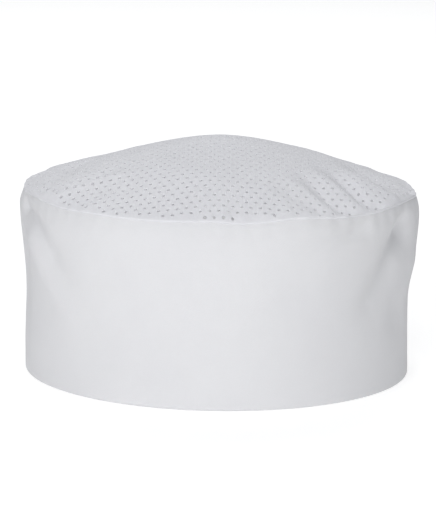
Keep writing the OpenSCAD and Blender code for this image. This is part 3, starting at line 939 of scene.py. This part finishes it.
def makeHook():                          # one moulded hook: a stem that turns over at its tip
    deselectAll()
    bpy.ops.mesh.primitive_cylinder_add(vertices=5, radius=0.07 * mm, depth=0.16 * mm, end_fill_type="NGON")
    hook = bpy.context.object
    hook.name = "hookShape"
    bpy.ops.object.mode_set(mode="EDIT")
    bpy.ops.mesh.select_all(action="DESELECT")
    shape = bmesh.from_edit_mesh(hook.data)
    for face in shape.faces:
        face.select_set(face.normal.z > 0.9)
    bmesh.update_edit_mesh(hook.data)
    bpy.ops.mesh.extrude_region_move(TRANSFORM_OT_translate={"value": (0.06 * mm, 0, 0.07 * mm)})
    bpy.ops.mesh.extrude_region_move(TRANSFORM_OT_translate={"value": (0.12 * mm, 0, -0.01 * mm)})
    bpy.ops.transform.resize(value=(0.6, 0.6, 0.6))
    bpy.ops.object.mode_set(mode="OBJECT")
    return hook


def makeLoop():                          # one loop of pile: a thin arch of yarn
    deselectAll()
    bpy.ops.mesh.primitive_torus_add(major_segments=8, minor_segments=4, major_radius=0.26 * mm,
                                     minor_radius=0.06 * mm, rotation=(math.pi / 2, 0, 0))
    loop = bpy.context.object
    loop.name = "loopShape"
    bpy.ops.object.transform_apply(location=False, rotation=True, scale=False)
    bpy.ops.object.mode_set(mode="EDIT")
    bpy.ops.mesh.select_all(action="SELECT")
    bpy.ops.mesh.bisect(plane_co=(0, 0, -0.02 * mm), plane_no=(0, 0, 1), clear_inner=True, use_fill=True)
    bpy.ops.object.mode_set(mode="OBJECT")
    return loop


def makeHookTape():
    cornerR = closure["hookCornerR"]
    plate, free, end, low, high = tapePlate("hookTape", "hook_tape", closure["hookPlateR"], 40, 14, cornerR)
    half, middleZ = (high.z - low.z) / 2, (high.z + low.z) / 2
    spots = []
    for t in np.arange(free + 1.4 * mm / rimR, end - 1.2 * mm / rimR, closure["hookStep"] / rimR):
        reach = roundedHalf(np.array((t - free) * rimR), half, cornerR) - 0.8 * mm
        for z in np.arange(low.z + 1.4 * mm, high.z - 1.2 * mm, closure["hookRow"]):
            if abs(z - middleZ) < reach:
                spots.append((t, z))
    t, z = np.array(spots).T
    origins = ringPoints(closure["hookR"], t, z)
    turned = np.where(np.arange(len(t)) % 2 == 0, 1.0, -1.0)      # every other hook faces down
    tangents = np.array([[0, 0, 1.0]]) * turned[:, None]
    hookShape = makeHook()
    joinOnto(plate, copyMany(hookShape, "hooks", origins, tangents, -radialOut(origins)))
    bpy.data.objects.remove(hookShape)
    smoothShade(plate, 50)
    finishPiece(plate, "tab", hookNylon, ["hook_tape"])
    sewnPiece("hookStitches", boxRun(closure["hookStitchR"], free, end, low.z, high.z),
              "tab", ["hook_thread"])


def makeLoopTape():
    plate, free, end, low, high = tapePlate("loopTape", "loop_tape", closure["loopPlateR"], 70, 20, 0)
    count = closure["loops"]
    t = free + 0.9 * mm / rimR + rng.random(count) * (end - free - 1.8 * mm / rimR)
    z = low.z + 0.8 * mm + rng.random(count) * (high.z - low.z - 1.6 * mm)
    origins = ringPoints(closure["loopR"], t, z)
    spin = rng.random(count) * np.pi
    around = np.stack([np.cos(t), np.sin(t), np.zeros(count)], -1)
    tangents = around * np.cos(spin)[:, None] + np.array([0, 0, 1.0]) * np.sin(spin)[:, None]
    loopShape = makeLoop()
    joinOnto(plate, copyMany(loopShape, "pile", origins, tangents, radialOut(origins)))
    bpy.data.objects.remove(loopShape)
    smoothShade(plate, 60)
    finishPiece(plate, "hat", loopPile, ["loop_tape"])
    sewnPiece("loopTapeStitches", boxRun(closure["loopStitchR"], free, end, low.z, high.z),
              "hat", ["loop_thread"])


def makeClosure():
    makeHookTape()
    makeLoopTape()


label = {"thickness": 0.17 * mm, "layerGap": 0.11 * mm, "wallInset": 4.1 * mm}


def makeLabel():                         # a blank satin ribbon, folded double and sewn to the seam tape
    labelLow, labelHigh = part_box("care_label")
    baseLow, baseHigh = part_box("label_base")
    middleY = (labelLow.y + labelHigh.y) / 2
    half = (labelHigh.x - labelLow.x) / 2
    front = middleY - label["layerGap"]
    back = middleY + label["layerGap"]
    topZ = baseHigh.z - 0.35 * mm
    # up the wall side of the sewn end, over, down the front and up again behind, as (share, z):
    # share 1 lies on the seam tape, 0 is the front layer and -1 the back one
    path = [(1.0, z) for z in np.linspace(baseLow.z + 0.5 * mm, topZ, 4)]
    path += [(share, topZ + 0.2 * mm * math.sin(math.pi * share)) for share in (0.8, 0.5, 0.2)]
    path += [(0.0, z) for z in np.linspace(topZ, baseLow.z, 5)]
    path += [(0.0, z) for z in np.linspace(baseLow.z - 0.25 * mm, labelLow.z + 0.25 * mm, 26)]
    path += [(-1.0, z) for z in np.linspace(labelLow.z + 0.3 * mm, labelHigh.z - 0.3 * mm, 26)]
    shares, heights = np.array(path).T
    piece, u, v = clothGrid("careLabel", len(path) - 1, 18)
    place = np.rint(u * (len(path) - 1)).astype(int)
    x = (v * 2 - 1) * half
    z = heights[place]
    wall = backPoint(x, z, label["wallInset"])[:, 1]
    y = np.where(shares[place] > 0, front + (wall - front) * shares[place],
                 np.where(shares[place] < 0, back, front))
    writePoints(piece, np.stack([x, y, z], -1))
    reach = pathLengths(np.stack([np.where(shares < 0, back, front), heights], -1))
    writeUv(piece, x, reach[place])
    thicken(piece, label["thickness"])
    pointOutwards(piece)
    smoothShade(piece, 50)
    finishPiece(piece, None, labelSatin, ["label_base", "care_label"])
    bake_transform(piece)
    threadLow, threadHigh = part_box("label_thread")
    path = np.tile(np.array((threadLow + threadHigh) / 2), (40, 1))
    path[:, 0] = np.linspace(threadLow.x + 0.5 * mm, threadHigh.x - 0.5 * mm, 40)
    sewnPiece("labelStitches", [(path, np.tile([[0, -1.0, 0]], (40, 1)))], "hat", ["label_thread"])


for report, make in (("band", makeBand), ("stiffening", makeStiffening), ("crown", makeCrown),
                     ("seam tape", makeSeamTape), ("seam stitches", makeSeamStitches),
                     ("sweatband", makeSweatband), ("vent tape", makeVentTape), ("strap", makeStrap),
                     ("hooks and loops", makeClosure), ("label", makeLabel)):
    print(report)
    make()
bpy.data.objects.remove(stitchShape)


studio = {
    "target": (0, 0, 0.0504), "distance": 1.5, "height": 0.055, "elevation": 11, "roll": 0.93,
    "lens": 206.05, "lampAim": (0, 0, 0.06),
    "lamps": {                 # place, width, power
        "leftLight": ((-0.85, -1.7, 0.9), 1.0, 5.1),
        "frontLight": ((-0.3, -1.95, 0.7), 1.0, 10.5),
        "rightLight": ((0.85, -1.75, 0.8), 1.0, 2.0),
        "highLight": ((-0.3, -1.2, 1.7), 1.2, 9.8),
        "topLight": ((0, 0, 2.0), 1.8, 2.3),
        "backLight": ((0, 1.3, 1.5), 1.2, 14.4),
    },
    "insidePower": 0.04, "worldColour": (0.93, 0.96, 1.0, 1), "worldStrength": 0.25, "floorGlow": 0.6,
}

deselectAll()
bpy.ops.mesh.primitive_plane_add(size=24, location=(0, 0, -0.0003))
floor = bpy.context.object
floor.name = "floor"
floorPaint = bpy.data.materials.new("white floor")
floorPaint.use_nodes = True
floorShader = floorPaint.node_tree.nodes["Principled BSDF"]
floorShader.inputs["Base Color"].default_value = (0.55, 0.55, 0.55, 1)
floorShader.inputs["Roughness"].default_value = 0.9
floorShader.inputs["Specular IOR Level"].default_value = 0.0
floorShader.inputs["Emission Color"].default_value = (1, 1, 1, 1)
floorShader.inputs["Emission Strength"].default_value = studio["floorGlow"]
floor.data.materials.append(floorPaint)


for lampName, (place, width, power) in studio["lamps"].items():
    deselectAll()
    bpy.ops.object.light_add(type="AREA", location=place)
    lamp = bpy.context.object
    lamp.name = lampName
    lamp.data.size = width
    lamp.data.energy = power
    lamp.rotation_euler = (Vector(studio["lampAim"]) - Vector(place)).to_track_quat("-Z", "Y").to_euler()
bpy.ops.object.light_add(type="POINT", location=(0, 0, 0.055))
inside = bpy.context.object
inside.name = "insideGlow"
inside.data.energy = studio["insidePower"]
inside.data.shadow_soft_size = 0.03

world = bpy.data.worlds.new("paleStudio")
world.use_nodes = True
world.node_tree.nodes["Background"].inputs["Color"].default_value = studio["worldColour"]
world.node_tree.nodes["Background"].inputs["Strength"].default_value = studio["worldStrength"]
bpy.context.scene.world = world
bpy.context.scene.view_settings.view_transform = "Standard"

camData = bpy.data.cameras.new("camera")
camera = bpy.data.objects.new("camera", camData)
bpy.context.collection.objects.link(camera)
tilt = math.radians(studio["elevation"])
camera.location = (0, -studio["distance"] * math.cos(tilt),
                   studio["height"] + studio["distance"] * math.sin(tilt))
aim = Vector(studio["target"]) - camera.location
facing = aim.to_track_quat("-Z", "Y").to_matrix()
turned = facing @ Matrix.Rotation(math.radians(studio["roll"]), 3, "Z")
camera.rotation_euler = turned.to_euler()
camData.lens = studio["lens"]
camData.sensor_width = 36
camData.clip_end = 50
bpy.context.scene.camera = camera

print("finished")
